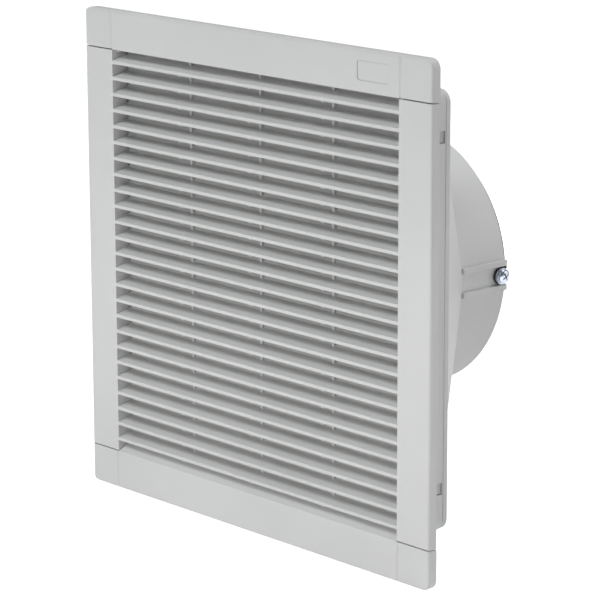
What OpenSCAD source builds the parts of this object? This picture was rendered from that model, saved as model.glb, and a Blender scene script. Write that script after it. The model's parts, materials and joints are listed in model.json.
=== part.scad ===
// Filter fan for an enclosure wall: louvred front cover, filter mat, moulded duct
// and an external rotor axial fan hung on a wire guard.
// X runs to the right seen from the front, Y into the enclosure and Z up.
// Y = 0 is the outer face of the panel, where the flange seats.

/* [Front flange] */
// Width and height of the flange
face_w = 325; // [305:1:350]
// Corner radius of the flange, seen from the front
face_r = 6.5; // [3:0.5:12]
// Depth of the flange in front of the panel
flange_t = 6.5; // [5:0.5:10]
// Radius of the front edges
edge_r = 1.8; // [0.8:0.1:2.4]
// Width of a stile, from the flange edge to the louvre opening
stile_w = 28; // [27.5:0.5:34]
// Height of a rail, from the flange edge to the louvre opening
rail_h = 26; // [25.5:0.5:30]
// Wall of the frame and of its collar
wall_t = 1.9; // [1.6:0.1:2.4]
// Width of the decorative grooves across the rails
groove_w = 1.8; // [0.8:0.1:2.5]
// Depth of the decorative grooves
groove_d = 0.6; // [0.3:0.1:1.2]
// Visible joint between a stile and a corner block
joint_gap = 0.8; // [0.4:0.1:1.5]
// Width of the bare label recess in the top rail
label_w = 27; // [15:1:40]
// Height of the bare label recess
label_h = 12; // [8:1:16]
// Depth of the label recess
label_d = 0.5; // [0.2:0.1:1]

/* [Collar] */
// Width of the flange that laps over the panel, on each side of the cut-out
lap_w = 17; // [16:0.5:17.5]
// Gap between the collar and the cut-out on each side
cutout_gap = 1; // [0.5:0.1:1.5]
// Depth of the collar that fills the cut-out
register_depth = 15; // [13.5:0.5:18]
// Depth of the box behind the panel, up to the duct plate
box_depth = 29.5; // [28:0.5:40]
// Corner radius of the box
box_r = 8; // [7:0.5:14]
// Stiffening ribs between collar and box, on each side
rib_n = 8; // [4:1:12]
// Thickness of a stiffening rib
rib_t = 1.6; // [1:0.1:2.5]

/* [Louvre cover] */
// Number of louvre blades
blade_n = 25; // [12:1:27]
// Thickness of a blade
blade_t = 1.6; // [1.2:0.1:2]
// Height of a blade's upright front lip
blade_lip = 2.2; // [1.5:0.1:3]
// Depth of a blade, front to back
blade_depth = 12; // [9:0.5:14]
// Rise of a blade from its front to its back
blade_rise = 3; // [2:0.5:8]
// Distance from the top of the opening to the first blade's lower edge
blade_first = 9.5; // [8:0.5:14]
// Height of the sloping sill at the foot of the opening
sill_h = 7.5; // [4:0.5:10]
// Upright stiffeners behind the blades
stay_n = 3; // [1:1:6]
// Thickness of a stiffener
stay_t = 2; // [1.2:0.1:3]
// Wall at each end of the blades
cover_wall = 1.2; // [1:0.1:1.6]

/* [Filter] */
// Bars of the filter support grid, each way
grid_n = 9; // [4:1:14]
// Width of a grid bar
grid_bar = 2.4; // [1.5:0.1:4]
// Thickness of the grid
grid_t = 3.2; // [2:0.1:4]
// Thickness of the foam seal
seal_t = 1.6; // [1:0.1:2.5]
// Width of the foam seal
seal_w = 7; // [4:0.5:8]

/* [Duct] */
// Thickness of the duct's square plate
plate_t = 3.4; // [2:0.1:5]
// Reveal between the box and the duct plate
reveal = 0.7; // [0.4:0.1:1]
// Outer radius of the round duct
duct_r = 85.5; // [80:0.5:90]
// Wall of the duct
duct_wall = 2.4; // [1.8:0.1:2.8]
// Depth behind the panel at which the duct turns round
duct_root = 98; // [85:0.5:105]
// Length of the round part of the duct
duct_len = 39; // [38:0.5:48]
// Rim of the duct plate outside the funnel
funnel_rim = 7.2; // [5:0.1:16]
// Width of a snap hook between duct and box
hook_w = 7; // [5:0.5:9]
// Distance of a snap hook from the side of the box
hook_in = 28.3; // [22:0.1:60]
// Height of the two ridges beside each guard leg
ridge_h = 1.9; // [1:0.1:2.5]
// Width of such a ridge
ridge_w = 3.6; // [2.5:0.1:4.5]
// Distance between the two ridges, centre to centre
ridge_gap = 15.8; // [15.2:0.1:18]

/* [Guard] */
// Diameter of the guard wire
wire_d = 2.1; // [1.6:0.1:2.4]
// Half the width of a guard leg, on the wire's centreline
leg_r = 4.7; // [4.2:0.1:4.8]
// Number of rings in the guard
ring_n = 5; // [3:1:6]
// Radius of the smallest ring
ring_first = 38.5; // [37:0.5:44]
// Distance of the guard screws from the duct's rim
guard_screw_in = 5.2; // [4.8:0.1:5.6]
// Thread diameter of the guard screws
guard_screw_d = 5; // [4:0.5:5]

/* [Fan] */
// Gap between the blade tips and the duct
tip_gap = 2.4; // [1:0.1:4]
// Number of fan blades
fan_n = 7; // [3:1:9]
// Thickness of a fan blade
fan_t = 1.8; // [1:0.1:2.5]
// Camber radius of a fan blade
fan_camber = 90; // [70:1:140]
// Chord of a fan blade, edge to edge
fan_chord = 50; // [36:1:54]
// Pitch of a fan blade to the plane of the fan
fan_pitch = 34; // [26:1:40]
// Axial depth of the fan blades
fan_depth = 26; // [18:0.5:28]
// Outer radius of the rotor cup
rotor_r = 36; // [34:0.5:36.5]
// Wall of the rotor cup
rotor_wall = 2; // [1.5:0.1:3]
// Depth of the rotor cup
rotor_depth = 31; // [28:0.5:33]
// Diameter of the shaft
shaft_d = 8; // [6:0.5:9]

/* [Terminal box] */
// Width of the terminal box
term_w = 40; // [34:1:46]
// Height of the terminal box
term_h = 26; // [22:1:30]
// Depth of the terminal box without its lid
term_depth = 16; // [14:0.5:20]

/* [Hidden] */
$fn = 64;

// Overrun of every cut
cut = 1;
// Air between pieces that slide or rest beside each other
slip = 0.3;
// Radial clearance of a pin that turns in a bore
turn_gap = 0.05;

// Flange and opening
face_half = face_w / 2;
open_half = face_half - stile_w;
open_top = face_half - rail_h;
ledge_t = 2.4;
skirt_t = 3;
cutout_half = face_half - lap_w;
cover_half_z = open_top - joint_gap / 2;
box_in = open_half + cover_wall + slip;
box_half = box_in + wall_t;
box_in_r = box_r - wall_t;
register_half = cutout_half - cutout_gap;
label_r = 2;
label_margin = 9;
seal_mid = (register_half + face_half - skirt_t) / 2;

// Blades
blade_run = 2 * open_top - blade_first - sill_h;
blade_pitch = blade_run / (blade_n - 1);
blade_back = blade_depth - flange_t;
stay_deep = 2.2;
stay_back = blade_back + stay_deep;
sill_gap = 0.4;
stay_foot = -open_top + sill_h + sill_gap;
web_drop = 0.9;
web_in = 0.6;
web_sink = 0.4;

// Duct plate and the tongue that enters the box
plate_front = box_depth + reveal;
plate_back = plate_front + plate_t;
plate_half = box_half - slip;
tongue_out = box_in - slip;
tongue_t = 1.8;
tongue_in = tongue_out - tongue_t;
tongue_r = box_in_r - slip;
tongue_reach = 7;
hook_at = box_half - hook_in;
hook_proud = 1.5;
hook_tip = 0.5;
window_len = 8;
window_band = 0.8;
funnel_half = plate_half - funnel_rim;
funnel_r = 22;
duct_end = duct_root + duct_len;
bore_r = duct_r - duct_wall;

// Filter
grid_back = plate_front;
grid_front = grid_back - grid_t;
grid_half = tongue_in - slip;
grid_r = tongue_r - tongue_t - slip;
grid_rim = 4;
mat_front = stay_back + slip;
mat_back = grid_front - slip;
mat_half = tongue_in - 2 * slip;

// Guard
wire_r = wire_d / 2;
bend_r = 3.4;
touch = 0.02;
leg_x = duct_r + wire_r + touch;
guard_y = duct_end + slip + wire_r;
weld_share = 0.9;
ring_y = guard_y + wire_d * weld_share;
ring_last = duct_r - 2 * wire_d;
ring_step = (ring_last - ring_first) / (ring_n - 1);
screw_y = duct_end - guard_screw_in;
washer_t = 1;
washer_r = guard_screw_d + slip;
head_r_share = 0.95;
head_h_share = 0.62;
nut_flat_share = 1.6;
nut_t_share = 0.7;
nut_t = guard_screw_d * nut_t_share;
nut_seat = sqrt(bore_r * bore_r - guard_screw_d * guard_screw_d) - touch;

// Motor
motor_screw_r = 28;
motor_screw_d = 4;
flange_r = 37;
motor_flange_t = 6.4;
flange_back = guard_y - wire_r - touch;
flange_front = flange_back - motor_flange_t;
flange_rim_h = 3.6;
rotor_gap = 1.4;
rotor_back = flange_front - rotor_gap;
rotor_front = rotor_back - rotor_depth;
rotor_in = rotor_r - rotor_wall;
air_gap = 0.5;
stator_r = rotor_in - air_gap;
core_depth = 13;
tube_r = 12.5;
tube_in = 11;
bearing_w = 7;
bearing_gap = 0.02;
bearing_r = tube_in - bearing_gap;
tube_gap = 2.2;
tube_front = rotor_front + rotor_wall + tube_gap;
shoulder_r = 8.5;
core_in = 5.5;
core_front = tube_front + core_in;
core_back = core_front + core_depth;
winding_h = 4.6;
winding_in = 15;
winding_step = 3.5;
winding_out = stator_r - winding_step;
shaft_r = shaft_d / 2;
clip_t = 1;
clip_w = 2.4;
clip_r = shaft_r + clip_w;
boss_w = 3;
boss_r = shaft_r + boss_w;
boss_h = 1.8;
front_bearing_in = 0.6;
front_bearing_y = tube_front + front_bearing_in;
rear_bearing_out = 1.2;
rear_bearing_y = flange_front + rear_bearing_out - bearing_w;
clip_y = rear_bearing_y + bearing_w + touch;
shaft_proud = 1;
shaft_back = clip_y + clip_t + shaft_proud;

// Impeller
tip_r = bore_r - tip_gap;
fan_in = 2.4;
fan_front = rotor_front + fan_in;
fan_back = fan_front + fan_depth;
hub_t = 2;
hub_r = rotor_r + hub_t;
blade_sink = 0.6;

// Panel catches
catch_w = 8;
catch_in = 74.5;
catch_z = register_half - catch_in;
catch_proud = 3;
catch_nose_y = 4.6;
pin_r = 1;
ear_t = 3;
nose_t = 1;
nose_slant = 2.5;
pivot_in = 3.9;
pivot_up = 2;
lever_back = 0.5;
lever_t = 1.8;
catch_pivot_x = register_half - pivot_in;
catch_pivot_y = register_depth - pivot_up;
lever_in = catch_pivot_x - lever_back;
lever_out = lever_in + lever_t;
catch_hub_r = 1.8;
ear_depth = 4.4;
notch_w = catch_w + 2 * slip;

// Terminal box
term_from_side = 37.6;
term_from_foot = 27.6;
term_x = term_from_side - plate_half;
term_z = term_from_foot - plate_half;
term_wall = 2;
pad_y = 70;
pad_lip = 2;
term_lid_t = 2.2;
term_r = 3;
entry_d = 10;
pole_n = 3;
pole_w = 9;
block_h = 12;
block_w = pole_n * pole_w;
block_t = 9;
term_screw_d = 3.5;
slot_w = 0.8;
slot_d = 0.7;
lid_boss_r = 3;
lid_screw_d = 3;

// Extrudes an outline drawn as seen from the front, between two depths
module slab(from, to) {
    translate([0, to, 0]) rotate([90, 0, 0]) linear_extrude(to - from) children();
}

// Extrudes an outline drawn in depth and height along X
module along_x(from, to) {
    translate([from, 0, 0]) rotate([90, 0, 90]) linear_extrude(to - from) children();
}

// Extrudes an outline drawn in X and depth along Z
module along_z(from, to) {
    translate([0, 0, from]) linear_extrude(to - from) children();
}

// Revolves a profile of radius and depth about the fan axis
module about_y() {
    rotate([-90, 0, 0]) rotate_extrude() children();
}

// A round bar along Y from one depth to another
module bar_y(r, from, to) {
    translate([0, from, 0]) rotate([-90, 0, 0]) cylinder(r = r, h = to - from);
}

// Square with round corners, centred
module round_square(w, h, r) {
    square([w, h - 2 * r], center = true);
    square([w - 2 * r, h], center = true);
    for (sx = [-1, 1], sy = [-1, 1]) translate([sx * (w / 2 - r), sy * (h / 2 - r)]) circle(r);
}

// Square ring with round corners
module round_ring(half, half_in, r) {
    r_in = max(r - (half - half_in), edge_r);
    difference() {
        round_square(2 * half, 2 * half, r);
        round_square(2 * half_in, 2 * half_in, r_in);
    }
}

// Repeats its child on the four sides
module on_sides(angles = [0, 90, 180, 270]) {
    for (a = angles) rotate([0, a, 0]) children();
}

// Section of the flange with its two front edges rounded: first axis across, second axis depth
module flange_section(w, deep) {
    translate([-w / 2, edge_r - flange_t]) square([w, deep - edge_r]);
    translate([edge_r - w / 2, -flange_t]) square([w - 2 * edge_r, deep]);
    for (s = [-1, 1]) translate([s * (w / 2 - edge_r), edge_r - flange_t]) circle(edge_r);
}

// Whole flange as one plate with rounded front edges
module flange_plate() {
    intersection() {
        slab(-flange_t, 0) round_square(face_w, face_w, face_r);
        along_z(-face_half, face_half) flange_section(face_w, flange_t);
        rotate([0, 90, 0]) along_z(-face_half, face_half) flange_section(face_w, flange_t);
    }
}

// Base frame: rails and corner blocks, collar, box, ribs, sill and ears of the catches
module base_frame() {
    color([0.80, 0.81, 0.80]) difference() {
        union() {
            difference() {
                flange_plate();
                stile_bay();
                slab(-flange_t - cut, cut) square([2 * open_half, 2 * open_top], center = true);
            }
            slab(-ledge_t, 0) round_ring(face_half - skirt_t - slip, box_in, face_r);
            slab(0, register_depth) round_ring(register_half, register_half - wall_t, box_r);
            slab(-ledge_t, box_depth) round_ring(box_half, box_in, box_r);
            on_sides() collar_ribs();
            along_x(-open_half + sill_gap, open_half - sill_gap) sill_section();
            for (s = [-1, 1], z = [-catch_z, catch_z]) catch_ears(s, z);
        }
        rail_grooves();
        label_recess();
        seal_groove();
        on_sides() hook_windows();
        for (s = [-1, 1], z = [-catch_z, catch_z]) catch_notch(s, z);
    }
}

// Space that each stile of the cover fills, in front of the ledge
module stile_bay() {
    bay_z = open_top + joint_gap / 2;
    for (s = [-1, 1]) {
        slab(-flange_t - cut, cut) translate([s * face_half, 0])
            square([2 * stile_w, 2 * bay_z], center = true);
    }
}

// Ribs between the collar and the box
module collar_ribs() {
    rib_pitch = 2 * (register_half - box_r) / rib_n;
    for (k = [0 : rib_n - 1]) {
        z = (k + 0.5 - rib_n / 2) * rib_pitch;
        translate([box_half - wall_t / 2, 0, z - rib_t / 2])
            cube([register_half - wall_t / 2 - box_half, register_depth - wall_t, rib_t]);
    }
}

// Section of the sloping sill at the foot of the louvre opening
module sill_section() {
    sill_top = -open_top + sill_h - sill_gap;
    polygon([
        [-flange_t, -box_half],
        [-flange_t, -open_top],
        [blade_back, sill_top],
        [blade_back, sill_top - wall_t],
        [-ledge_t + wall_t, -box_half]
    ]);
}

// Grooves that carry the lines of the stiles across the rails
module rail_grooves() {
    for (s = [-1, 1]) translate([s * (open_half + groove_w / 2), -flange_t])
        along_z(-face_half - cut, face_half + cut) polygon([
            [-groove_w / 2, -cut],
            [-groove_w / 2, 0],
            [0, groove_d],
            [groove_w / 2, 0],
            [groove_w / 2, -cut]
        ]);
}

// Shallow bare recess for a label, near the right end of the top rail
module label_recess() {
    slab(-flange_t - cut, label_d - flange_t)
        translate([open_half - label_margin - label_w / 2, open_top + rail_h / 2])
        round_square(label_w, label_h, label_r);
}

// Groove in the back of the flange for the foam seal
module seal_outline(extra) {
    round_ring(seal_mid + seal_w / 2 + extra, seal_mid - seal_w / 2 - extra, face_r + seal_w / 2);
}
module seal_groove() {
    slab(-seal_t, cut) seal_outline(0);
}

// Windows in the box wall that the duct's snap hooks click into
module hook_windows() {
    for (s = [-1, 1]) translate([box_in - cut, box_depth - window_band - window_len,
            s * hook_at - hook_w / 2 - slip])
        cube([wall_t + 2 * cut, window_len, hook_w + 2 * slip]);
}

// Ears that hold a catch's pivot
module catch_ears(side, z) {
    for (e = [-1, 1]) difference() {
        translate([side > 0 ? box_half - wall_t / 2 : -register_half + wall_t / 2,
                register_depth - ear_depth, z + e * (notch_w + ear_t) / 2 - ear_t / 2])
            cube([register_half - box_half, ear_depth, ear_t]);
        translate([side * catch_pivot_x, catch_pivot_y, z + e * (notch_w + ear_t) / 2])
            cylinder(r = pin_r + turn_gap, h = ear_t + 2 * cut, center = true);
    }
}

// Notch in the collar that lets the catch swing
module catch_notch(side, z) {
    reach = wall_t + cut;
    translate([side > 0 ? register_half - reach : -register_half - cut, wall_t, z - notch_w / 2])
        cube([reach + cut, register_depth, notch_w]);
}

// One blade: upright lip in front, slope rising to the back
module blade_section() {
    polygon([
        [-flange_t, 0],
        [-flange_t, blade_lip],
        [blade_back, blade_lip + blade_rise],
        [blade_back, blade_lip + blade_rise - blade_t],
        [-flange_t + blade_t, 0]
    ]);
}

// Web that stiffens a blade from below
module web_section() {
    web_front = web_in - flange_t;
    polygon([
        [web_front, -web_drop],
        [web_front, web_sink],
        [blade_back, blade_lip + blade_rise - blade_t + web_sink],
        [blade_back, 0]
    ]);
}

// Removable cover: two stiles, louvre blades between them and stiffeners behind the blades
module louvre_cover() {
    color([0.80, 0.81, 0.80]) {
        intersection() {
            flange_plate();
            union() for (s = [-1, 1]) {
                slab(-flange_t, -ledge_t - slip) translate([s * (open_half + face_half) / 2, 0])
                    square([face_half - open_half, 2 * cover_half_z], center = true);
                slab(-flange_t, -slip) translate([s * (face_half - skirt_t / 2), 0])
                    square([skirt_t, 2 * cover_half_z], center = true);
            }
        }
        intersection() {
            union() {
                for (s = [-1, 1]) cover_side(s);
                for (k = [0 : blade_n - 1]) translate([0, 0, open_top - blade_first - k * blade_pitch])
                    blade();
                for (k = [1 : stay_n]) translate([stay_x(k), 0, 0]) stay();
            }
            cover_inside();
        }
    }
}

// Place of a stiffener across the opening
function stay_x(k) = 2 * open_half * k / (stay_n + 1) - open_half;

// Space that the blades may fill: square in the opening, with round corners inside the box
module cover_inside() {
    back_half = box_in - slip;
    slab(-flange_t, -ledge_t - slip) square([2 * back_half, 2 * cover_half_z], center = true);
    slab(-ledge_t - slip, stay_back) round_square(2 * back_half, 2 * back_half, tongue_r);
}

// Blade from side to side, with a web below it at each stiffener
module blade() {
    along_x(-open_half - cover_wall / 2, open_half + cover_wall / 2) blade_section();
    for (k = [1 : stay_n]) along_x(stay_x(k) - stay_t / 2, stay_x(k) + stay_t / 2) web_section();
}

// Stiffener behind the blades
module stay() {
    slab(blade_back - stay_deep, stay_back) translate([-stay_t / 2, stay_foot])
        square([stay_t, cover_half_z - stay_foot]);
}

// End wall of the blades
module cover_side(s) {
    slab(-flange_t + edge_r, blade_back) translate([s * (open_half + cover_wall / 2), 0])
        square([cover_wall, 2 * cover_half_z], center = true);
}

// Filter mat
module filter_mat() {
    color([0.93, 0.93, 0.90]) slab(mat_front, mat_back)
        round_square(2 * mat_half, 2 * mat_half, grid_r);
}

// Grid that the mat rests on
module support_grid() {
    bar_pitch = 2 * (grid_half - grid_rim) / (grid_n + 1);
    color([0.76, 0.77, 0.76]) slab(grid_front, grid_back) {
        difference() {
            round_square(2 * grid_half, 2 * grid_half, grid_r);
            square(2 * (grid_half - grid_rim), center = true);
        }
        for (k = [1 : grid_n]) {
            at = -grid_half + grid_rim + k * bar_pitch;
            translate([at, 0]) square([grid_bar, 2 * grid_half - grid_rim], center = true);
            translate([0, at]) square([2 * grid_half - grid_rim, grid_bar], center = true);
        }
    }
}

// Foam seal between flange and panel
module foam_seal() {
    color([0.15, 0.15, 0.16]) slab(-seal_t, 0) seal_outline(-slip);
}

// Solid body of the funnel and the round duct, drawn in by a wall
module duct_body(wall) {
    hull() {
        slab(plate_back - duct_wall, plate_back)
            round_square(2 * (funnel_half - wall), 2 * (funnel_half - wall), funnel_r - wall, $fn = 32);
        bar_y(duct_r - wall, duct_root - duct_wall / 2, duct_root, $fn = 96);
    }
}

// Duct: square plate with a tongue and snap hooks, funnel and round duct with ridges
module fan_duct() {
    color([0.78, 0.79, 0.78]) difference() {
        union() {
            slab(plate_front, plate_back) round_square(2 * plate_half, 2 * plate_half, box_r);
            difference() {
                slab(plate_front - tongue_reach, plate_back) round_ring(tongue_out, tongue_in, tongue_r);
                on_sides() hook_gaps();
            }
            on_sides() duct_hooks();
            duct_body(0);
            bar_y(duct_r, duct_root - duct_wall, duct_end);
            on_sides() guard_ridges();
            terminal_pad();
        }
        duct_body(duct_wall);
        slab(plate_front - cut, plate_back - duct_wall + touch)
            round_square(2 * (funnel_half - duct_wall), 2 * (funnel_half - duct_wall),
                funnel_r - duct_wall);
        bar_y(bore_r, duct_root - duct_wall, duct_end + cut);
        on_sides() translate([bore_r - cut, screw_y, 0]) rotate([0, 90, 0])
            cylinder(d = guard_screw_d + slip, h = duct_wall + 2 * cut);
    }
}

// Gaps in the tongue, round each snap hook
module hook_gaps() {
    for (s = [-1, 1]) translate([tongue_in - cut, plate_front - tongue_reach - cut,
            s * hook_at - hook_w / 2 - slip])
        cube([tongue_t + 2 * cut, tongue_reach + cut - slip, hook_w + 2 * slip]);
}

// Snap hooks: fingers that slope outward to the back of the windows
module duct_hooks() {
    hook_back = box_depth - window_band - slip;
    hook_front = box_depth - window_band - window_len;
    for (s = [-1, 1]) along_z(s * hook_at - hook_w / 2, s * hook_at + hook_w / 2) polygon([
        [tongue_in, plate_front],
        [tongue_in, hook_front],
        [tongue_in + hook_tip, hook_front],
        [tongue_out + hook_proud, hook_back],
        [tongue_out, hook_back],
        [tongue_out, plate_front]
    ]);
}

// Two ridges along the duct that keep a guard leg in place
module guard_ridges() {
    for (s = [-1, 1]) translate([duct_r - duct_wall / 2, duct_root, s * ridge_gap / 2 - ridge_w / 2])
        cube([duct_wall / 2 + ridge_h, duct_len, ridge_w]);
}

// Raised pad for the terminal box
module terminal_pad() {
    slab(plate_back - touch, pad_y) translate([term_x, term_z])
        round_square(term_w - pad_lip, term_h - pad_lip, term_r);
}

// Wire along X, from one end to the other
module wire_x(from, to) {
    translate([from, 0, 0]) rotate([0, 90, 0]) cylinder(r = wire_r, h = to - from, $fn = 24);
}

// Half loop of wire about Z, closed towards +X
module wire_loop() {
    rotate([0, 0, -90]) rotate_extrude(angle = 180, $fn = 48) translate([leg_r, 0])
        circle(wire_r, $fn = 24);
}

// One guard leg: a hairpin round the motor screw, over the rim and round the guard screw
module guard_leg() {
    for (s = [-1, 1]) {
        translate([0, guard_y, s * leg_r]) wire_x(motor_screw_r, leg_x - bend_r);
        translate([leg_x - bend_r, guard_y - bend_r, s * leg_r])
            rotate_extrude(angle = 90, $fn = 48) translate([bend_r, 0]) circle(wire_r, $fn = 24);
        translate([leg_x, 0, s * leg_r]) bar_y(wire_r, screw_y, guard_y - bend_r, $fn = 24);
    }
    translate([motor_screw_r, guard_y, 0]) rotate([90, 0, 0]) rotate([0, 0, 180]) wire_loop();
    translate([leg_x, screw_y, 0]) rotate([0, 90, 0]) rotate([0, 0, -90]) wire_loop();
}

// Wire guard: four legs and the rings welded on them
module wire_guard() {
    color([0.08, 0.08, 0.09]) {
        on_sides() guard_leg();
        for (k = [0 : ring_n - 1]) about_y() translate([ring_first + k * ring_step, ring_y])
            circle(wire_r, $fn = 24);
    }
}

// Pan head screw that points along -X with its head's underside at X = 0
module pan_screw(d, long) {
    head_r = d * head_r_share;
    head_h = d * head_h_share;
    recess = d / 4;
    difference() {
        union() {
            rotate([0, 90, 0]) cylinder(r = head_r, h = head_h - d / 10);
            translate([head_h - d / 10, 0, 0]) rotate([0, 90, 0])
                cylinder(r1 = head_r, r2 = head_r - d / 8, h = d / 10);
            translate([-long, 0, 0]) rotate([0, 90, 0]) cylinder(d = d, h = long);
        }
        for (a = [0, 90]) rotate([a, 0, 0]) translate([head_h - recess, -recess / 2, -head_r / 2])
            cube([recess + cut, recess, head_r]);
    }
}

// Four screws that clamp the guard legs on the duct
module guard_screws() {
    reach = washer_t + wire_d + duct_wall + nut_t + guard_screw_d / 4;
    color([0.75, 0.77, 0.80]) on_sides()
        translate([leg_x + wire_r + washer_t + 2 * touch, screw_y, 0]) pan_screw(guard_screw_d, reach);
}

// Washers under those screws
module guard_washers() {
    color([0.70, 0.72, 0.74]) on_sides() translate([leg_x + wire_r + touch, screw_y, 0])
        rotate([0, 90, 0]) difference() {
            cylinder(r = washer_r, h = washer_t);
            translate([0, 0, -cut]) cylinder(d = guard_screw_d + slip, h = washer_t + 2 * cut);
        }
}

// Hexagon nuts inside the duct
module guard_nuts() {
    color([0.72, 0.74, 0.76]) on_sides() translate([nut_seat - nut_t, screw_y, 0])
        rotate([0, 90, 0]) difference() {
            cylinder(d = guard_screw_d * nut_flat_share / cos(30), h = nut_t, $fn = 6);
            translate([0, 0, -cut]) cylinder(d = guard_screw_d + touch, h = nut_t + 2 * cut);
        }
}

// Motor flange with the bearing tube, cast in one
module motor_flange() {
    color([0.66, 0.67, 0.68]) difference() {
        about_y() polygon([
            [tube_r, flange_front],
            [tube_r, tube_front],
            [tube_in, tube_front],
            [tube_in, front_bearing_y + bearing_w],
            [shoulder_r, front_bearing_y + bearing_w],
            [shoulder_r, rear_bearing_y],
            [tube_in, rear_bearing_y],
            [tube_in, flange_back - rotor_wall],
            [0, flange_back - rotor_wall],
            [0, flange_back],
            [flange_r, flange_back],
            [flange_r, flange_back - flange_rim_h],
            [flange_r - flange_rim_h, flange_front]
        ]);
        on_sides() translate([motor_screw_r, 0, 0])
            bar_y(motor_screw_d / 2, flange_front - cut, flange_back + cut);
    }
}

// Screws that clamp the inner ends of the guard legs on the motor
module motor_screws() {
    reach = wire_d + flange_back - flange_front;
    color([0.75, 0.77, 0.80]) on_sides() translate([motor_screw_r, guard_y + wire_r + washer_t + touch, 0])
        rotate([0, 0, 90]) {
            pan_screw(motor_screw_d - touch, reach);
            translate([-washer_t, 0, 0]) rotate([0, 90, 0]) cylinder(r = washer_r, h = washer_t);
        }
}

// Laminated stator core with pole teeth
module stator_core() {
    tooth_n = 12;
    slot_r = 2.2;
    yoke_r = 20;
    color([0.42, 0.43, 0.45]) slab(core_front, core_back) difference() {
        circle(stator_r);
        circle(tube_r + touch);
        for (k = [0 : tooth_n - 1]) rotate(k * 360 / tooth_n) {
            translate([yoke_r, -slot_r]) square([stator_r - yoke_r - slot_r, 2 * slot_r]);
            translate([yoke_r, -slot_r / 4]) square([stator_r, slot_r / 2]);
        }
    }
}

// Copper end turns on both faces of the core
module stator_windings() {
    corner = 1.5;
    color([0.72, 0.42, 0.20]) for (y = [core_front - winding_h, core_back]) about_y()
        translate([(winding_in + winding_out) / 2, y + winding_h / 2])
        round_square(winding_out - winding_in, winding_h, corner);
}

// Ball bearing: rings with a closed shield between them
module bearing(from) {
    race = 1.8;
    shield_in = 0.4;
    color([0.74, 0.76, 0.79]) about_y() polygon([
        [shaft_r + turn_gap, from],
        [shaft_r + race, from],
        [shaft_r + race, from + shield_in],
        [bearing_r - race, from + shield_in],
        [bearing_r - race, from],
        [bearing_r, from],
        [bearing_r, from + bearing_w],
        [bearing_r - race, from + bearing_w],
        [bearing_r - race, from + bearing_w - shield_in],
        [shaft_r + race, from + bearing_w - shield_in],
        [shaft_r + race, from + bearing_w],
        [shaft_r + turn_gap, from + bearing_w]
    ]);
}
module front_bearing() {
    bearing(front_bearing_y);
}
module rear_bearing() {
    bearing(rear_bearing_y);
}

// Shaft, pressed in the rotor cup
module shaft() {
    neck = 0.4;
    color([0.80, 0.81, 0.83]) about_y() polygon([
        [0, rotor_front],
        [shaft_r, rotor_front],
        [shaft_r, clip_y],
        [shaft_r - neck, clip_y],
        [shaft_r - neck, clip_y + clip_t],
        [shaft_r, clip_y + clip_t],
        [shaft_r, shaft_back - neck],
        [shaft_r - neck, shaft_back],
        [0, shaft_back]
    ]);
}

// Clip in the groove at the end of the shaft
module retaining_clip() {
    neck = 0.4;
    mouth = 2.2;
    color([0.30, 0.31, 0.33]) slab(clip_y, clip_y + clip_t) difference() {
        circle(clip_r);
        circle(shaft_r - neck + touch);
        translate([0, -mouth / 2]) square([clip_r + cut, mouth]);
    }
}

// Rotor cup: drawn steel cup with a boss for the shaft
module rotor_cup() {
    cup_r = 3;
    color([0.16, 0.16, 0.17]) difference() {
        about_y() {
            difference() {
                union() {
                    translate([0, rotor_front + cup_r]) square([rotor_r, rotor_depth - cup_r]);
                    translate([0, rotor_front]) square([rotor_r - cup_r, rotor_depth]);
                    translate([rotor_r - cup_r, rotor_front + cup_r]) circle(cup_r);
                }
                translate([0, rotor_front + rotor_wall]) square([rotor_in, rotor_depth]);
            }
            translate([0, rotor_front]) square([boss_r, rotor_wall + boss_h]);
        }
        bar_y(shaft_r + touch, rotor_front - cut, rotor_back);
    }
}

// One fan blade: a cambered sheet cut to the annulus between hub and tip
module fan_blade() {
    mid = (fan_front + fan_back) / 2;
    intersection() {
        difference() {
            bar_y(tip_r, fan_front, fan_back);
            bar_y(hub_r - blade_sink, fan_front - cut, fan_back + cut);
        }
        translate([0, mid, 0]) rotate([90 - fan_pitch, 0, 0]) translate([0, 0, -fan_camber])
            rotate([0, 90, 0]) intersection() {
                translate([-fan_camber - cut, -fan_chord / 2, 0])
                    cube([fan_camber + cut, fan_chord, tip_r + cut]);
                difference() {
                    cylinder(r = fan_camber, h = tip_r + cut, $fn = 96);
                    translate([0, 0, -cut]) cylinder(r = fan_camber - fan_t, h = tip_r + 3 * cut, $fn = 96);
                }
            }
    }
}

// Impeller: ring on the rotor cup with the blades
module impeller() {
    color([0.12, 0.12, 0.13]) {
        about_y() translate([rotor_r + touch, fan_front]) square([hub_t - touch, fan_depth]);
        for (k = [0 : fan_n - 1]) rotate([0, k * 360 / fan_n, 0]) fan_blade();
    }
}

// Panel catch for the right side: nose that grips behind the panel, lever and pivot pin
module panel_catch() {
    nose_x = register_half + catch_proud;
    color([0.72, 0.73, 0.72]) {
        along_z(-catch_w / 2, catch_w / 2) {
            polygon([
                [lever_in, catch_nose_y + nose_slant],
                [nose_x, catch_nose_y],
                [nose_x, catch_nose_y + nose_t],
                [lever_out, catch_pivot_y],
                [lever_in, catch_pivot_y]
            ]);
            translate([catch_pivot_x, catch_pivot_y]) circle(catch_hub_r);
        }
        translate([catch_pivot_x, catch_pivot_y, 0])
            cylinder(r = pin_r, h = catch_w + 2 * ear_t, center = true);
    }
}
module catch_at(side, z) {
    translate([0, 0, z]) mirror([side > 0 ? 0 : 1, 0, 0]) panel_catch();
}
module catch_left_upper() {
    catch_at(-1, catch_z);
}
module catch_left_lower() {
    catch_at(-1, -catch_z);
}
module catch_right_upper() {
    catch_at(1, catch_z);
}
module catch_right_lower() {
    catch_at(1, -catch_z);
}

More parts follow.
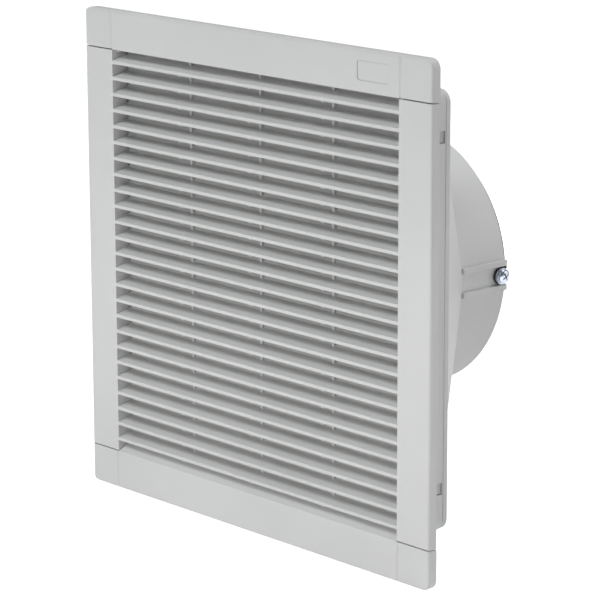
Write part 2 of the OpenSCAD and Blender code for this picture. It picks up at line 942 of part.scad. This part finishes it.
// Places its child at the terminal box, with the pad at depth zero
module at_terminal() {
    translate([term_x, pad_y, term_z]) children();
}

// Posts for the lid screws, at two opposite corners
module lid_places() {
    inset = lid_boss_r + term_wall / 2;
    for (s = [-1, 1]) translate([s * (term_w / 2 - inset), 0, s * (term_h / 2 - inset)]) children();
}

// Terminal box, open to the back, with a cable entry in its lower wall
module terminal_box() {
    color([0.30, 0.31, 0.32]) at_terminal() difference() {
        union() {
            difference() {
                slab(0, term_depth) round_square(term_w, term_h, term_r);
                slab(term_wall, term_depth + cut)
                    round_square(term_w - 2 * term_wall, term_h - 2 * term_wall, term_r - term_wall);
            }
            lid_places() bar_y(lid_boss_r, 0, term_depth);
        }
        lid_places() bar_y(lid_screw_d / 2, term_depth / 2, term_depth + cut);
        translate([0, term_depth / 2, -term_h / 2]) cylinder(d = entry_d, h = 4 * term_wall, center = true);
    }
}

// Terminal block with one pocket for each pole
module terminal_block() {
    hole_r = 1.6;
    color([0.90, 0.90, 0.86]) at_terminal() difference() {
        translate([-block_w / 2, term_wall, -block_h / 2]) cube([block_w, block_t, block_h]);
        for (k = [0 : pole_n - 1]) translate([(k + 0.5) * pole_w - block_w / 2, 0, 0]) {
            bar_y(term_screw_d / 2 + slip, term_wall + block_t / 2, term_wall + block_t + cut);
            translate([0, term_wall + block_t / 4, 0])
                cylinder(r = hole_r, h = block_h + 2 * cut, center = true);
        }
    }
}

// Slotted clamp screws of the terminals
module terminal_screws() {
    color([0.72, 0.62, 0.35]) at_terminal() for (k = [0 : pole_n - 1])
        translate([(k + 0.5) * pole_w - block_w / 2, 0, 0]) difference() {
            bar_y(term_screw_d / 2, term_wall + block_t / 2, term_wall + block_t - slot_d);
            translate([-term_screw_d, term_wall + block_t - 2 * slot_d, -slot_w / 2])
                cube([2 * term_screw_d, slot_d + cut, slot_w]);
        }
}

// Lid of the terminal box
module terminal_lid() {
    color([0.30, 0.31, 0.32]) at_terminal() difference() {
        slab(term_depth, term_depth + term_lid_t) round_square(term_w, term_h, term_r);
        lid_places() bar_y(lid_screw_d / 2 + slip, term_depth - cut, term_depth + term_lid_t + cut);
    }
}

// Screws of the lid
module lid_screws() {
    color([0.75, 0.77, 0.80]) at_terminal() lid_places() translate([0, term_depth + term_lid_t, 0])
        rotate([0, 0, 90]) pan_screw(lid_screw_d - touch, term_depth / 2);
}

base_frame();
louvre_cover();
filter_mat();
support_grid();
foam_seal();
fan_duct();
wire_guard();
guard_screws();
guard_washers();
guard_nuts();
motor_flange();
motor_screws();
stator_core();
stator_windings();
front_bearing();
rear_bearing();
shaft();
rotor_cup();
impeller();
retaining_clip();
catch_left_upper();
catch_left_lower();
catch_right_upper();
catch_right_lower();
terminal_box();
terminal_block();
terminal_screws();
terminal_lid();
lid_screws();
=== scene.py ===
"""Looks of an enclosure filter fan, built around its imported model.

Metres, X to the right seen from the front, Y into the enclosure, Z up.
"""
import json
import math

import bmesh
import bpy
from mathutils import Matrix, Vector, noise


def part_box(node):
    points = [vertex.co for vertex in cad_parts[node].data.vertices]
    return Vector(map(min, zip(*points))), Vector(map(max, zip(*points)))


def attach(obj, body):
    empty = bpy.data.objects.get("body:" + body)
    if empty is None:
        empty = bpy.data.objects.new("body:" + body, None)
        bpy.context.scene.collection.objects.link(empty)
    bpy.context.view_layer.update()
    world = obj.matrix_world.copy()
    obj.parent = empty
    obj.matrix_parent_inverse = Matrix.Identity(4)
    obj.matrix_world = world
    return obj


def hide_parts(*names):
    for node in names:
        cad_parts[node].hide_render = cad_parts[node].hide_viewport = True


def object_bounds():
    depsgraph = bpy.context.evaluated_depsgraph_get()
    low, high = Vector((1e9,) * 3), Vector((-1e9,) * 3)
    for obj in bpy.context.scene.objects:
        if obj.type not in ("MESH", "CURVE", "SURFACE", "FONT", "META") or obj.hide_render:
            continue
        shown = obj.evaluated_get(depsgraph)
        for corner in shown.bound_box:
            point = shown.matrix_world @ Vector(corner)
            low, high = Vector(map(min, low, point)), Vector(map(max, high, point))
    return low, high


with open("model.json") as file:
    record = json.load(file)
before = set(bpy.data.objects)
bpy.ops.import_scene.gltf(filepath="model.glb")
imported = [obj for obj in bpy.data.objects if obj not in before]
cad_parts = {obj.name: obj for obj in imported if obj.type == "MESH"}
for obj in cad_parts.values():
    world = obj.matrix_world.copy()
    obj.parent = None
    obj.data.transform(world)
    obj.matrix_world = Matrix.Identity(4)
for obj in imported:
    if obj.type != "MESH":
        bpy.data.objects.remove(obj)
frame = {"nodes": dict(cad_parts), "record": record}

CAD_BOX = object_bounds()

MM = 0.001

# Camera, as the photograph was taken
PHOTO_PX = 600
FOCAL_PX = 2944.2
SENSOR = 36.0
CAM_AT = Vector((1.3622, -1.2026, 0.4199))
CAM_LOOK = Vector((-0.71982, 0.65491, -0.23013))
CAM_UP = Vector((-0.16854, 0.15671, 0.97316))

# Floor: gap under the flange, half width, grey, and glow towards the camera and mirrors
FLOOR_DROP = 0.0004
FLOOR_HALF = 6.0
FLOOR_GREY = 0.82
FLOOR_GLOW = 0.92

# Level of the world's light, which the camera sees as white all the same
AMBIENT = 0.04

# Lamps: place, point aimed at, width and height, watts, tint.
# Part of low_right is under the floor, so only a share of its power counts.
LAMPS = {
    "key_top": ((-0.45, -2.05, 2.5), (0, 0, 0), (2.0, 1.4), 50, (0.97, 0.985, 1)),
    "low_front": ((0.0, -0.46, -0.05), (0, 0, -0.2), (0.9, 0.12), 0.72, (1, 1, 0.97)),
    "low_right": ((0.75, 0.0, -0.2), (0.15, 0, -0.16), (0.5, 0.12), 1.3, (1, 1, 0.98)),
    "back_high": ((0.5, 0.7, 2.2), (0, 0.08, 0), (1.2, 0.9), 20, (1, 1, 1)),
    "right_back": ((1.1, 1.3, 0.5), (0, 0.1, 0), (0.7, 0.7), 4.5, (1, 1, 1)),
}

# Stiffeners behind the louvre blades: distance from one to the next
STAY_PITCH = 0.06725

# Upturned back edge of the louvre blades: (y, z) outline from a blade's foot, in mm
BLADES = 25
BLADE_TOP = 127.0
BLADE_PITCH = 256.0 / 24
RIDGE_HALF = 133.3
RIDGE = [(6.4, 8.1), (6.15, 7.2), (5.7, 6.4), (5.1, 5.7), (4.5, 5.0), (4.5, 3.9), (5.4, 3.9),
         (6.1, 4.7), (6.75, 5.8), (7.15, 7.0), (7.35, 8.1)]

# Pan head screw, as shares of its diameter: head radius and height, neck, recess arm, washer bore
HEAD_SHARE = 0.95
HEAD_HEIGHT_SHARE = 0.62
NECK_SHARE = 0.46
ARM_SHARE = 0.085
BORE_SHARE = 0.52
# Thread's core as a share of its outer radius
CORE_SHARE = 0.82
# Head's crown, foot and recess depth as shares of its height, recess reach as one of its radius
CROWN_SHARE = 0.58
FOOT_SHARE = 0.12
DEPTH_SHARE = 0.78
REACH_SHARE = 0.62
# Power that rounds the crown, and the angle in degrees from which an edge of the screw is sharp
CROWN_POWER = 0.8
SHARP_ANGLE = 32
# Recess from its top down: share of its width, share of its depth
RECESS_TAPER_SHARES = ((1.0, 0.0), (0.86, 0.45), (0.5, 1.0))

# Light and dark screen colour of each plastic, cloth or paint, and what differs from moulded()
PLASTICS = {
    "abs_light": ((229, 229, 229), (225, 225, 225), {}),
    "filter_fleece": ((206, 209, 200), (184, 190, 178),
                      {"rough": (0.9, 1.0), "grain": 700.0, "height": 0.0004, "edge": 0}),
    "seal_foam": ((46, 46, 48), (36, 36, 38),
                  {"rough": (0.85, 0.95), "grain": 1500.0, "height": 0.0002, "edge": 0}),
    "guard_wire": ((34, 35, 37), (24, 25, 27),
                   {"rough": (0.3, 0.42), "grain": 900.0, "height": 0.00003, "edge": 0}),
    "rotor_black": ((40, 40, 42), (30, 30, 32), {"rough": (0.35, 0.5), "grain": 800.0}),
    "fan_plastic": ((36, 36, 38), (28, 28, 30), {"rough": (0.4, 0.55)}),
    "catch_nylon": ((205, 205, 200), (196, 196, 190), {}),
    "terminal_dark": ((70, 72, 74), (58, 60, 62), {}),
    "terminal_cream": ((232, 230, 216), (222, 219, 203), {}),
}

# The same for the metals, and what differs from metal()
METALS = {
    "zinc_steel": ((214, 220, 230), (180, 188, 202), {}),
    "cast_aluminium": ((190, 192, 194), (168, 170, 173),
                       {"rough": (0.45, 0.6), "grain": 700.0, "height": 0.00008}),
    "core_steel": ((120, 122, 126), (96, 98, 102), {}),
    "copper_wire": ((214, 130, 76), (178, 96, 50), {}),
    "bearing_steel": ((206, 208, 212), (180, 183, 188), {"rough": (0.16, 0.3)}),
    "spring_steel": ((110, 112, 116), (84, 86, 90), {}),
    "terminal_brass": ((212, 186, 116), (184, 156, 88), {}),
}


def srgb(r, g, b):
    """Linear colour of an 8-bit screen colour."""
    def lin(v):
        v = v / 255
        return v / 12.92 if v <= 0.04045 else ((v + 0.055) / 1.055) ** 2.4
    return (lin(r), lin(g), lin(b), 1)


def make_camera():
    data = bpy.data.cameras.new("camera")
    data.sensor_width = SENSOR
    data.lens = FOCAL_PX * SENSOR / PHOTO_PX
    data.clip_start, data.clip_end = 0.05, 50
    cam = bpy.data.objects.new("camera", data)
    bpy.context.scene.collection.objects.link(cam)
    back = -CAM_LOOK.normalized()
    right = CAM_UP.cross(back).normalized()
    up = back.cross(right)
    cam.matrix_world = Matrix.Translation(CAM_AT) @ Matrix((right, up, back)).transposed().to_4x4()
    bpy.context.scene.camera = cam


class Nodes:
    """Shorthand for building a material's node tree."""

    def __init__(self, name):
        self.mat = bpy.data.materials.new(name)
        self.mat.use_nodes = True
        self.tree = self.mat.node_tree
        self.tree.nodes.clear()
        self.out = self.tree.nodes.new("ShaderNodeOutputMaterial")

    def add(self, kind, **values):
        node = self.tree.nodes.new(kind)
        for key, value in values.items():
            setattr(node, key, value)
        return node

    def link(self, source, target):
        self.tree.links.new(source, target)

    def shader(self, **values):
        node = self.add("ShaderNodeBsdfPrincipled")
        for key, value in values.items():
            node.inputs[key].default_value = value
        self.link(node.outputs[0], self.out.inputs[0])
        return node

    def place(self):
        return self.add("ShaderNodeTexCoord").outputs["Object"]

    def noise(self, scale, detail):
        node = self.add("ShaderNodeTexNoise")
        node.inputs["Scale"].default_value = scale
        node.inputs["Detail"].default_value = detail
        self.link(self.place(), node.inputs["Vector"])
        return node.outputs[0]

    def ramp(self, source, low, high, start=0.35, end=0.65):
        node = self.add("ShaderNodeValToRGB")
        node.color_ramp.elements[0].position = start
        node.color_ramp.elements[1].position = end
        node.color_ramp.elements[0].color = low
        node.color_ramp.elements[1].color = high
        self.link(source, node.inputs[0])
        return node.outputs[0]

    def span(self, source, low, high):
        node = self.add("ShaderNodeMapRange")
        node.inputs["To Min"].default_value = low
        node.inputs["To Max"].default_value = high
        self.link(source, node.inputs["Value"])
        return node.outputs[0]

    def bump(self, source, height, strength=0.5):
        node = self.add("ShaderNodeBump")
        node.inputs["Strength"].default_value = strength
        node.inputs["Distance"].default_value = height
        self.link(source, node.inputs["Height"])
        return node


def moulded(name, light, dark, rough=(0.42, 0.55), grain=1800.0, height=0.00004, edge=0.0004):
    """Moulded plastic: fine grain, faint mottling and softened edges."""
    mottle, wear = 9.0, 60.0
    n = Nodes(name)
    s = n.shader()
    n.link(n.ramp(n.noise(mottle, detail=3.0), dark, light), s.inputs["Base Color"])
    n.link(n.span(n.noise(wear, detail=3.0), *rough), s.inputs["Roughness"])
    bump = n.bump(n.noise(grain, detail=2.0), height)
    if edge:
        bevel = n.add("ShaderNodeBevel")
        bevel.samples = 4
        bevel.inputs["Radius"].default_value = edge
        n.link(bevel.outputs[0], bump.inputs["Normal"])
    n.link(bump.outputs[0], s.inputs["Normal"])
    return n.mat


def metal(name, light, dark, rough=(0.25, 0.4), grain=900.0, height=0.00002):
    """Metal with faint stains and a fine grain."""
    stain, wear = 120.0, 400.0
    n = Nodes(name)
    s = n.shader(Metallic=1.0)
    n.link(n.ramp(n.noise(stain, detail=4.0), dark, light), s.inputs["Base Color"])
    n.link(n.span(n.noise(wear, detail=3.0), *rough), s.inputs["Roughness"])
    n.link(n.bump(n.noise(grain, detail=2.0), height).outputs[0], s.inputs["Normal"])
    return n.mat


def make_materials():
    made = {}
    for recipe, table in ((moulded, PLASTICS), (metal, METALS)):
        for name, (light, dark, options) in table.items():
            made[name] = recipe(name, srgb(*light), srgb(*dark), **options)
    return made


def dress(materials):
    """Gives every CAD node the material of its slot in the record."""
    slots = {part["node"]: part["material_slot"] for part in frame["record"]["subparts"]}
    for name, obj in frame["nodes"].items():
        obj.data.materials.clear()
        obj.data.materials.append(materials[slots[name]])


def backdrop_material():
    """White for the camera and for mirrors, and a plain diffuse floor for the light."""
    n = Nodes("floor_white")
    plain = n.add("ShaderNodeBsdfDiffuse")
    plain.inputs["Color"].default_value = (FLOOR_GREY, FLOOR_GREY, FLOOR_GREY, 1)
    glow = n.add("ShaderNodeEmission")
    glow.inputs["Strength"].default_value = FLOOR_GLOW
    lit = n.add("ShaderNodeAddShader")
    n.link(plain.outputs[0], lit.inputs[0])
    n.link(glow.outputs[0], lit.inputs[1])
    path = n.add("ShaderNodeLightPath")
    seen = path.outputs["Is Camera Ray"]
    for ray in ("Is Glossy Ray", "Is Transmission Ray"):
        either = n.add("ShaderNodeMath", operation="MAXIMUM")
        n.link(seen, either.inputs[0])
        n.link(path.outputs[ray], either.inputs[1])
        seen = either.outputs[0]
    mix = n.add("ShaderNodeMixShader")
    n.link(seen, mix.inputs[0])
    n.link(plain.outputs[0], mix.inputs[1])
    n.link(lit.outputs[0], mix.inputs[2])
    n.link(mix.outputs[0], n.out.inputs[0])
    return n.mat


def make_floor():
    z = CAD_BOX[0].z - FLOOR_DROP
    corners = [(x * FLOOR_HALF, y * FLOOR_HALF, z) for x, y in ((-1, -1), (1, -1), (1, 1), (-1, 1))]
    mesh = bpy.data.meshes.new("floor")
    mesh.from_pydata(corners, [], [(0, 1, 2, 3)])
    floor = bpy.data.objects.new("floor", mesh)
    bpy.context.scene.collection.objects.link(floor)
    mesh.materials.append(backdrop_material())


def make_world():
    world = bpy.data.worlds.new("studio")
    bpy.context.scene.world = world
    world.use_nodes = True
    tree = world.node_tree
    tree.nodes.clear()
    out = tree.nodes.new("ShaderNodeOutputWorld")
    back = tree.nodes.new("ShaderNodeBackground")
    path = tree.nodes.new("ShaderNodeLightPath")
    both = tree.nodes.new("ShaderNodeMath")
    both.operation = "MAXIMUM"
    level = tree.nodes.new("ShaderNodeMapRange")
    back.inputs["Color"].default_value = (1, 1, 1, 1)
    level.inputs["To Min"].default_value = AMBIENT
    level.inputs["To Max"].default_value = 1.0
    tree.links.new(path.outputs["Is Camera Ray"], both.inputs[0])
    tree.links.new(path.outputs["Is Transmission Ray"], both.inputs[1])
    tree.links.new(both.outputs[0], level.inputs["Value"])
    tree.links.new(level.outputs[0], back.inputs["Strength"])
    tree.links.new(back.outputs[0], out.inputs[0])


def make_lights():
    for name, (at, aim, size, power, tint) in LAMPS.items():
        data = bpy.data.lights.new(name, "AREA")
        data.shape = "RECTANGLE"
        data.size, data.size_y = size
        data.energy = power
        data.color = tint
        light = bpy.data.objects.new(name, data)
        bpy.context.scene.collection.objects.link(light)
        light.location = at
        light.rotation_mode = "QUATERNION"
        light.rotation_quaternion = (Vector(aim) - Vector(at)).to_track_quat("-Z", "Y")


def new_piece(name, bm, slot, materials, body, smooth=True):
    """Makes an object of a bmesh, with its finish, and lets it move with a body."""
    mesh = bpy.data.meshes.new(name)
    bmesh.ops.recalc_face_normals(bm, faces=bm.faces)
    bm.to_mesh(mesh)
    bm.free()
    if smooth:
        mesh.shade_smooth()
    obj = bpy.data.objects.new(name, mesh)
    bpy.context.scene.collection.objects.link(obj)
    mesh.materials.append(materials[slot])
    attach(obj, body)
    return obj


def grid_faces(bm, rows, closed_across=True):
    """Quads between rows of vertices."""
    for a, b in zip(rows, rows[1:]):
        width = len(a)
        for j in range(width if closed_across else width - 1):
            k = (j + 1) % width
            bm.faces.new((a[j], a[k], b[k], b[j]))


def square_path(half, radius, steps):
    """Points and outward normals round a square with round corners."""
    points = []
    centre = half - radius
    for corner, (sx, sz) in enumerate(((1, 1), (-1, 1), (-1, -1), (1, -1))):
        for i in range(steps + 1):
            turn = math.radians(90 * corner + 90 * i / steps)
            normal = Vector((math.cos(turn), 0, math.sin(turn)))
            points.append((Vector((sx * centre, 0, sz * centre)) + normal * radius, normal))
    return points


def filter_fleece(materials):
    """Fleece mat: dimpled faces, pressed in by the stiffeners in front and the grid behind."""
    low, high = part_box("filter_mat")
    _, grid_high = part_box("support_grid")
    half = high.x
    cells = 132
    edge = 3.0 * MM
    deepest = 6 * MM
    face_share, tuck_share = 0.998, 0.9
    frame_bar, fields = 4 * MM, 10
    bar_pitch = (2 * grid_high.x - 2 * frame_bar) / fields
    bars = [-grid_high.x + frame_bar + k * bar_pitch for k in range(1, fields)]
    stays = [k * STAY_PITCH for k in (-1, 0, 1)]
    stay_press, bar_press = (2.4 * MM, 0.5 * MM), (2.2 * MM, 1.0 * MM)
    coarse, coarse_step, coarse_seed = 0.45 * MM, 90, 7.3
    fine, fine_step, fine_seed = 0.25 * MM, 260, 3.1
    fine_shift = 5
    front_share, back_share = 0.7, 0.6
    bm = bmesh.new()

    def tuck(at):
        """How far a face pulls in towards the mat's rim."""
        d = min(1.0, max(0.0, (half - abs(at)) / edge))
        return edge * (1 - math.sqrt(1 - (1 - d) ** 2)) if d < 1 else 0.0

    def dip(at, places, width, depth):
        near = min(abs(at - p) for p in places)
        return depth * math.exp(-(near / width) ** 2)

    sheets = []
    for side in (0, 1):
        rows = []
        for i in range(cells + 1):
            x = -half + 2 * half * i / cells
            row = []
            for j in range(cells + 1):
                z = -half + 2 * half * j / cells
                inner = Vector((x * face_share, 0, z * face_share))
                sink = max(tuck(x), tuck(z)) * tuck_share
                at = Vector((x * coarse_step, side * coarse_seed, z * coarse_step))
                lump = coarse * (1 + noise.noise(at))
                at = Vector((x * fine_step, side * fine_seed + fine_shift, z * fine_step))
                lump += fine * (1 + noise.noise(at))
                if side == 0:
                    press = dip(x, stays, *stay_press)
                    inner.y = low.y + min(deepest, sink + lump * front_share + press)
                else:
                    press = max(dip(x, bars, *bar_press), dip(z, bars, *bar_press))
                    inner.y = high.y - min(deepest, sink + lump * back_share + press)
                row.append(bm.verts.new(inner))
            rows.append(row)
        sheets.append(rows)
        grid_faces(bm, rows, closed_across=False)
    front, back = sheets
    rim = []
    for rows in (front, back):
        loop = [rows[i][0] for i in range(cells)] + [rows[cells][j] for j in range(cells)]
        loop += [rows[i][cells] for i in range(cells, 0, -1)]
        loop += [rows[0][j] for j in range(cells, 0, -1)]
        rim.append(loop)
    grid_faces(bm, rim)
    mat = new_piece("filter_fleece", bm, "filter_fleece", materials, "housing")
    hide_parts("filter_mat")


def seal_strip(materials):
    """Foam strip round the back of the flange, crowned, with its butt joint at the foot."""
    low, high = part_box("foam_seal")
    width = 6.2 * MM
    mid = high.x - width / 2
    thick = high.y - low.y
    swelling, swelling_step = 0.06 * MM, 120
    crown, corner, gap = 0.5 * MM, 6.6 * MM, 0.4 * MM
    section = []
    arc, corner_steps = 7, 10
    for i in range(arc + 1):
        t = math.pi * i / arc
        section.append((-math.cos(t) * width / 2, -crown + crown * math.sin(t)))
    section += [(width / 2, -thick), (-width / 2, -thick)]
    bm = bmesh.new()
    path = square_path(mid, corner, corner_steps)
    start = Vector((gap / 2, 0, -mid)), Vector((0, 0, -1))
    end = Vector((-gap / 2, 0, -mid)), Vector((0, 0, -1))
    last_corner = 3 * (corner_steps + 1)
    order = [start] + path[last_corner:] + path[:last_corner] + [end]
    rows = []
    for point, normal in order:
        swell = swelling * noise.noise(point * swelling_step)
        rows.append([bm.verts.new(point + normal * (a + swell) + Vector((0, high.y + b, 0)))
                     for a, b in section])
    grid_faces(bm, rows)
    bm.faces.new(rows[0])
    bm.faces.new(reversed(rows[-1]))
    seal = new_piece("seal_strip", bm, "seal_foam", materials, "housing")
    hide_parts("foam_seal")


def revolve(bm, profile, steps=40):
    """Turns a profile of radius and height about Z. A first or last radius of zero closes it."""
    rows = []
    for r, h in profile:
        if r == 0:
            rows.append([bm.verts.new((0, 0, h))])
        else:
            turns = [2 * math.pi * i / steps for i in range(steps)]
            rows.append([bm.verts.new((r * math.cos(t), r * math.sin(t), h)) for t in turns])
    for a, b in zip(rows, rows[1:]):
        if len(a) == 1 or len(b) == 1:
            tip, ring = (a[0], b) if len(a) == 1 else (b[0], a)
            for i in range(steps):
                bm.faces.new((tip, ring[i], ring[(i + 1) % steps]))
        else:
            grid_faces(bm, [a, b])


def cross_cutter(reach, arm, depth, top):
    """Tapered cross that cuts a screw's recess."""
    bm = bmesh.new()
    outline = [(reach, -arm), (reach, arm), (arm, arm), (arm, reach), (-arm, reach), (-arm, arm),
               (-reach, arm), (-reach, -arm), (-arm, -arm), (-arm, -reach), (arm, -reach), (arm, -arm)]
    rows = []
    for share, sunk in RECESS_TAPER_SHARES:
        rows.append([bm.verts.new((x * share, y * share, top - depth * sunk)) for x, y in outline])
    grid_faces(bm, rows)
    bm.faces.new(rows[0])
    bm.faces.new(reversed(rows[-1]))
    bmesh.ops.recalc_face_normals(bm, faces=bm.faces)
    return bm


def temporary(name, bm):
    mesh = bpy.data.meshes.new(name)
    bm.to_mesh(mesh)
    bm.free()
    obj = bpy.data.objects.new(name, mesh)
    bpy.context.scene.collection.objects.link(obj)
    return obj


def pan_screw(d, long, head_r, head_h, pitch, washer=None):
    """Mesh of a pan head screw with a cross recess and a thread, head up, seat at height zero."""
    lip, neck, stub = 0.12 * MM, 0.05 * MM, 0.3 * MM
    recess_overrun = 0.2 * MM
    bm = bmesh.new()
    dome, arc = [(0, head_h)], 8
    for i in range(1, arc + 1):
        t = math.radians(90 * i / arc)
        dome.append((head_r * math.sin(t) ** CROWN_POWER,
                     head_h * (1 - CROWN_SHARE + CROWN_SHARE * math.cos(t))))
    dome += [(head_r, head_h * FOOT_SHARE), (head_r - lip, 0), (d * NECK_SHARE, 0)]
    core = d / 2 * CORE_SHARE
    revolve(bm, dome + [(core, -neck), (core, -stub), (0, -stub)])
    bmesh.ops.recalc_face_normals(bm, faces=bm.faces)
    head = temporary("head", bm)
    recess = cross_cutter(head_r * REACH_SHARE, d * ARM_SHARE, head_h * DEPTH_SHARE,
                          head_h + recess_overrun)
    cutter = temporary("cutter", recess)
    cut = head.modifiers.new("recess", "BOOLEAN")
    cut.operation = "DIFFERENCE"
    cut.object = cutter
    cut.solver = "EXACT"
    graph = bpy.context.evaluated_depsgraph_get()
    done = bmesh.new()
    done.from_mesh(head.evaluated_get(graph).to_mesh())
    for obj in (head, cutter):
        bpy.data.objects.remove(obj)
    around = 20
    rows_turn = 5
    end_fade = 0.15
    count = int(long / pitch * rows_turn)
    rows = []
    for k in range(count + 1):
        h = -long * k / count
        fade = min(1.0, k / rows_turn, (count - k) / rows_turn + end_fade)
        row = []
        for i in range(around):
            turn = i / around
            wave = abs(((h / pitch + turn) % 1.0) * 2 - 1)
            r = core + (d / 2 - core) * wave * fade
            angle = 2 * math.pi * turn
            row.append(done.verts.new((r * math.cos(angle), r * math.sin(angle), h)))
        rows.append(row)
    grid_faces(done, rows)
    done.faces.new(rows[0])
    done.faces.new(reversed(rows[-1]))
    if washer:
        inner, outer, thick = washer
        ring = [(inner, 0), (outer - lip, 0), (outer, -lip), (outer, -thick + lip),
                (outer - lip, -thick), (inner, -thick), (inner, 0)]
        revolve(done, ring)
    mesh = bpy.data.meshes.new("screw")
    done.to_mesh(mesh)
    done.free()
    return mesh


def place_copies(name, mesh, places, slot, materials, body, node):
    """One piece of several copies of a mesh, which stands for a CAD node."""
    bm = bmesh.new()
    for place in places:
        before = len(bm.verts)
        bm.from_mesh(mesh)
        bm.verts.ensure_lookup_table()
        bmesh.ops.transform(bm, matrix=place, verts=bm.verts[before:])
    obj = new_piece(name, bm, slot, materials, body)
    obj.data.set_sharp_from_angle(angle=math.radians(SHARP_ANGLE))
    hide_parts(node)


def facing(at, outward, spin):
    """Place of a screw whose head points outward, turned about its own axis."""
    turn = outward.to_track_quat("Z", "Y").to_matrix().to_4x4()
    return Matrix.Translation(at) @ turn @ Matrix.Rotation(spin, 4, "Z")


def screws(materials):
    washer_low, washer_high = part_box("guard_washers")
    _, screw_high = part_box("guard_screws")
    seat = washer_high.x
    y = (washer_low.y + washer_high.y) / 2
    d, long, pitch = 5.0 * MM, 12.2 * MM, 0.8 * MM
    mesh = pan_screw(d, long, d * HEAD_SHARE, screw_high.x - seat, pitch)
    sides = [Vector((1, 0, 0)), Vector((0, 0, -1)), Vector((-1, 0, 0)), Vector((0, 0, 1))]
    spins = [0.5, 1.1, 0.2, 0.9]
    places = [facing(side * seat + Vector((0, y, 0)), side, spin) for side, spin in zip(sides, spins)]
    place_copies("guard_screws_threaded", mesh, places, "zinc_steel", materials, "housing", "guard_screws")

    low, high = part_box("motor_screws")
    d, reach, pitch = 4.0 * MM, 28 * MM, 0.7 * MM
    head_h = d * HEAD_HEIGHT_SHARE
    washer = (d * BORE_SHARE, 5.3 * MM, 1.0 * MM)
    seat_y = high.y - head_h
    mesh = pan_screw(d, seat_y - low.y, d * HEAD_SHARE, head_h, pitch, washer)
    places = [facing(side * reach + Vector((0, seat_y, 0)), Vector((0, 1, 0)), spin)
              for side, spin in zip(sides, spins)]
    place_copies("motor_screws_threaded", mesh, places, "zinc_steel", materials, "housing", "motor_screws")

    low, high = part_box("lid_screws")
    _, lid_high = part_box("terminal_lid")
    d, pitch = 3.0 * MM, 0.5 * MM
    head_r = d * HEAD_SHARE
    seat_y = lid_high.y
    mesh = pan_screw(d, seat_y - low.y, head_r, high.y - seat_y, pitch)
    corners = [(low.x + head_r, low.z + head_r), (high.x - head_r, high.z - head_r)]
    places = [facing(Vector((x, seat_y, z)), Vector((0, 1, 0)), spin)
              for (x, z), spin in zip(corners, spins)]
    place_copies("lid_screws_threaded", mesh, places, "zinc_steel", materials, "housing", "lid_screws")


def weld_spots(materials):
    """Small beads where the rings of the guard are welded on its legs."""
    inner, outer, count = 38.5, 81.3, 5
    rings = [inner + k * (outer - inner) / (count - 1) for k in range(count)]
    _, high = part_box("wire_guard")
    wire, leg_half, bead = 2.1 * MM, 4.7 * MM, 1.0 * MM
    depth_share = 0.95
    wide, flat, uneven, uneven_step = 1.35, 0.9, 0.15, 900
    y = high.y - wire * depth_share
    bm = bmesh.new()
    for side in range(4):
        turn = Matrix.Rotation(math.radians(90 * side), 4, "Y")
        for r in rings:
            for s in (-1, 1):
                z = s * leg_half
                x = math.sqrt((r * MM) ** 2 - z * z)
                at = Vector((x * uneven_step, side, z * uneven_step))
                size = wide * (1 + uneven * noise.noise(at))
                place = turn @ Matrix.Translation((x, y, z)) @ Matrix.Diagonal((size, flat, size, 1))
                bmesh.ops.create_icosphere(bm, subdivisions=2, radius=bead, matrix=place)
    new_piece("guard_welds", bm, "guard_wire", materials, "housing")


def louvre_ridges(materials):
    """Upturned back edge of every blade, lower at the top one. A guess."""
    bm = bmesh.new()
    foot, tip = min(z for _, z in RIDGE), max(z for _, z in RIDGE)
    for k in range(BLADES):
        z0 = BLADE_TOP - k * BLADE_PITCH
        squeeze = min(1, (RIDGE_HALF - z0 - foot) / (tip - foot))
        ends = []
        for x in (-RIDGE_HALF, RIDGE_HALF):
            ends.append([bm.verts.new(Vector((x, y, z0 + foot + (z - foot) * squeeze)) * MM)
                         for y, z in RIDGE])
        count = len(RIDGE)
        for i in range(count):
            j = (i + 1) % count
            bm.faces.new((ends[0][i], ends[0][j], ends[1][j], ends[1][i]))
        bm.faces.new(ends[0])
        bm.faces.new(ends[1][::-1])
    new_piece("louvre_ridges", bm, "abs_light", materials, "cover", smooth=False)


make_camera()
make_floor()
make_world()
make_lights()
finishes = make_materials()
dress(finishes)
filter_fleece(finishes)
seal_strip(finishes)
screws(finishes)
weld_spots(finishes)
louvre_ridges(finishes)
bpy.context.scene.view_settings.view_transform = "Standard"

bpy.context.view_layer.update()
